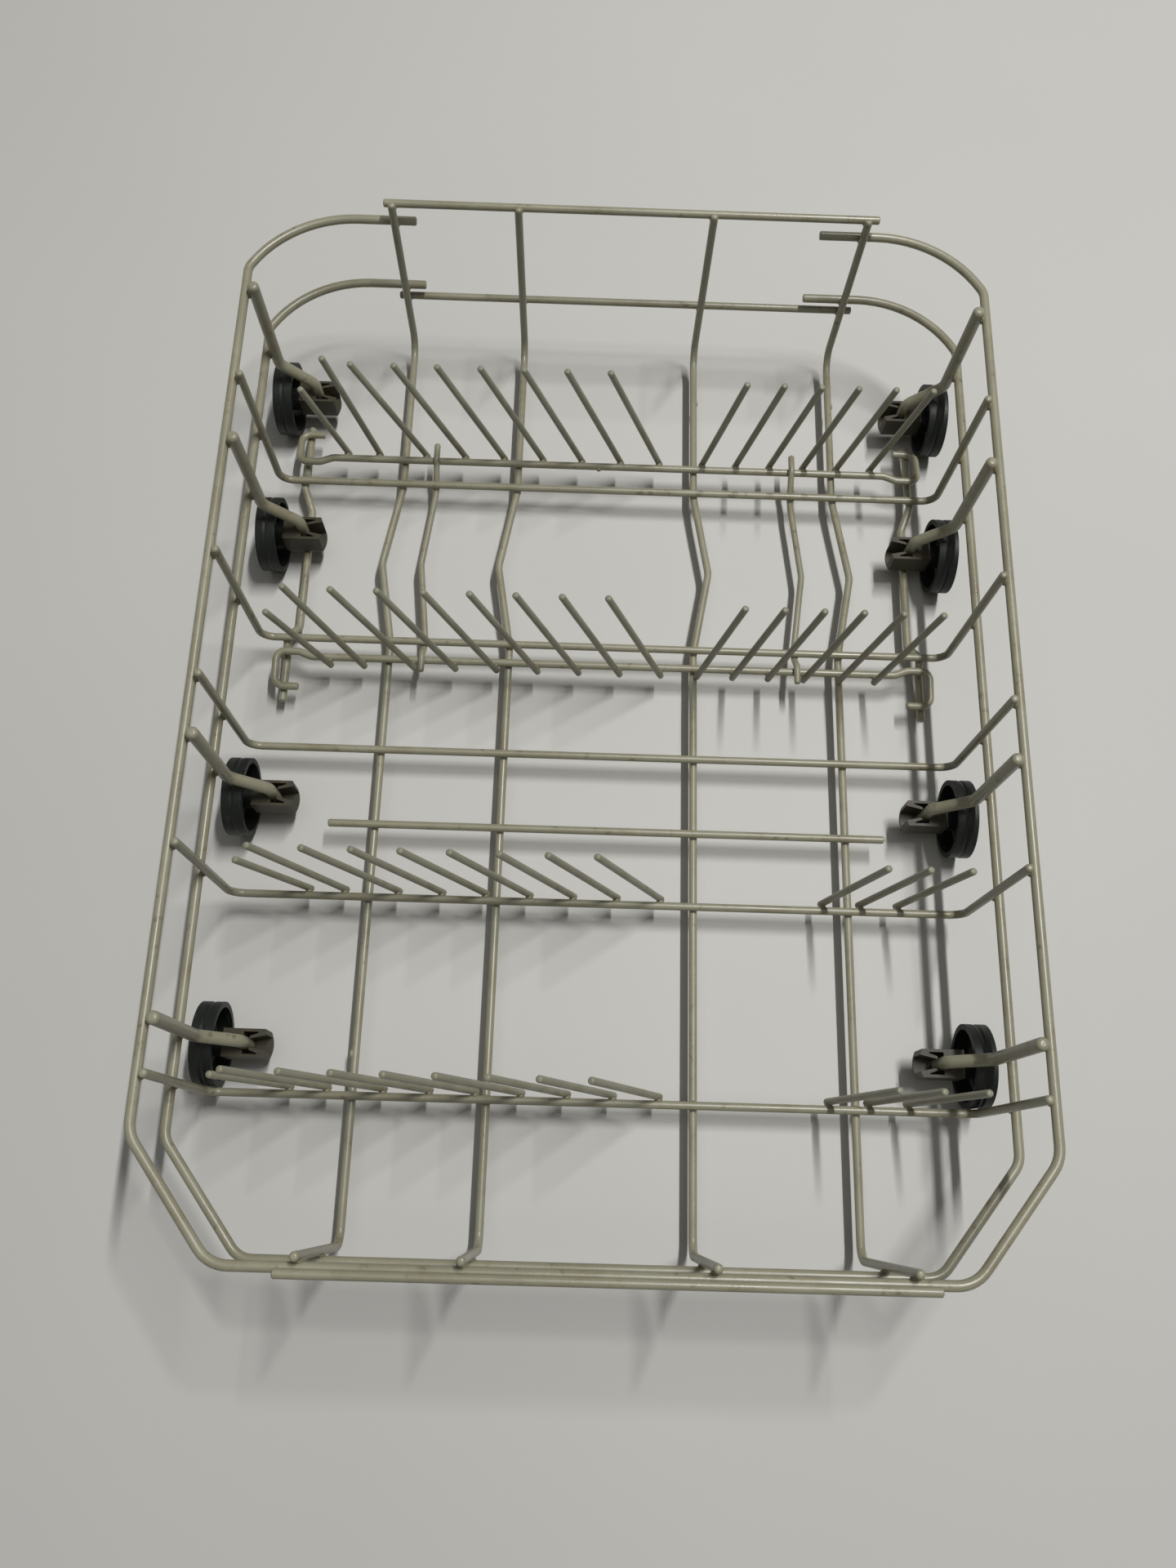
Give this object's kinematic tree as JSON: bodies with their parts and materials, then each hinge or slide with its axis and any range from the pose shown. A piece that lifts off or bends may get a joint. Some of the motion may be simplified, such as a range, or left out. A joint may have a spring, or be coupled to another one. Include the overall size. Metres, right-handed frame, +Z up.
{
  "type": "dishwasher basket",
  "caption": "Lower dishwasher basket of plastic-coated wire on clip-on wheels, with fold-down and fixed tine rows that hold plates upright.",
  "frame": {"origin": "on the ground under the middle of the basket's bounding box", "axes": "+X to the right, +Y to the back, +Z up"},
  "size_m": [0.3816, 0.5144, 0.1235],
  "materials": {
    "coated_wire": "satin nylon coating, warm grey",
    "clip_plastic": "matt moulded, brownish dark grey",
    "wheel_plastic": "matt moulded, charcoal"
  },
  "bodies": {
    "frame": {"back_mid_bar": "coated_wire", "back_top_bar": "coated_wire", "cross_wire_1": "coated_wire", "cross_wire_2": "coated_wire", "cross_wire_3": "coated_wire", "cross_wire_4": "coated_wire", "cross_wire_5": "coated_wire", "fixed_tines_front": "coated_wire", "fixed_tines_middle": "coated_wire", "front_rod": "coated_wire", "hold_down_wire_left": "coated_wire", "hold_down_wire_right": "coated_wire", "long_wire_1": "coated_wire", "long_wire_2": "coated_wire", "long_wire_3": "coated_wire", "long_wire_4": "coated_wire", "lower_rim": "coated_wire", "short_cross_wire": "coated_wire", "side_wire_left": "coated_wire", "side_wire_right": "coated_wire", "upper_rim": "coated_wire", "wheel_clip_left_1": "clip_plastic", "wheel_clip_left_2": "clip_plastic", "wheel_clip_left_3": "clip_plastic", "wheel_clip_left_4": "clip_plastic", "wheel_clip_right_1": "clip_plastic", "wheel_clip_right_2": "clip_plastic", "wheel_clip_right_3": "clip_plastic", "wheel_clip_right_4": "clip_plastic", "wheel_leg_left_1": "coated_wire", "wheel_leg_left_2": "coated_wire", "wheel_leg_left_3": "coated_wire", "wheel_leg_left_4": "coated_wire", "wheel_leg_right_1": "coated_wire", "wheel_leg_right_2": "coated_wire", "wheel_leg_right_3": "coated_wire", "wheel_leg_right_4": "coated_wire"},
    "fold_row_back": {"fold_rod_back": "coated_wire", "fold_tines_back": "coated_wire"},
    "fold_row_front": {"fold_rod_front": "coated_wire", "fold_tines_front": "coated_wire"},
    "wheel_left_1": {"wheel_left_1": "wheel_plastic"},
    "wheel_left_2": {"wheel_left_2": "wheel_plastic"},
    "wheel_left_3": {"wheel_left_3": "wheel_plastic"},
    "wheel_left_4": {"wheel_left_4": "wheel_plastic"},
    "wheel_right_1": {"wheel_right_1": "wheel_plastic"},
    "wheel_right_2": {"wheel_right_2": "wheel_plastic"},
    "wheel_right_3": {"wheel_right_3": "wheel_plastic"},
    "wheel_right_4": {"wheel_right_4": "wheel_plastic"}
  },
  "joints": [
    {"name": "fold_row_back_hinge", "type": "hinge", "parent": "frame", "child": "fold_row_back", "pos_m": [0, 0.16937, 0.0179], "axis": [1, 0, 0], "range_deg": [0, 57]},
    {"name": "fold_row_front_hinge", "type": "hinge", "parent": "frame", "child": "fold_row_front", "pos_m": [0, 0.04637, 0.0179], "axis": [-1, 0, 0], "range_deg": [0, 72]},
    {"name": "wheel_left_1_spin", "type": "hinge", "parent": "frame", "child": "wheel_left_1", "pos_m": [-0.184, 0.20578, 0.02], "axis": [1, 0, 0], "continuous": true},
    {"name": "wheel_left_2_spin", "type": "hinge", "parent": "frame", "child": "wheel_left_2", "pos_m": [-0.184, 0.11797, 0.02], "axis": [1, 0, 0], "continuous": true},
    {"name": "wheel_left_3_spin", "type": "hinge", "parent": "frame", "child": "wheel_left_3", "pos_m": [-0.184, -0.03402, 0.02], "axis": [1, 0, 0], "continuous": true},
    {"name": "wheel_left_4_spin", "type": "hinge", "parent": "frame", "child": "wheel_left_4", "pos_m": [-0.184, -0.15882, 0.02], "axis": [1, 0, 0], "continuous": true},
    {"name": "wheel_right_1_spin", "type": "hinge", "parent": "frame", "child": "wheel_right_1", "pos_m": [0.184, 0.20578, 0.02], "axis": [1, 0, 0], "continuous": true},
    {"name": "wheel_right_2_spin", "type": "hinge", "parent": "frame", "child": "wheel_right_2", "pos_m": [0.184, 0.11797, 0.02], "axis": [1, 0, 0], "continuous": true},
    {"name": "wheel_right_3_spin", "type": "hinge", "parent": "frame", "child": "wheel_right_3", "pos_m": [0.184, -0.03402, 0.02], "axis": [1, 0, 0], "continuous": true},
    {"name": "wheel_right_4_spin", "type": "hinge", "parent": "frame", "child": "wheel_right_4", "pos_m": [0.184, -0.15882, 0.02], "axis": [1, 0, 0], "continuous": true}
  ]
}
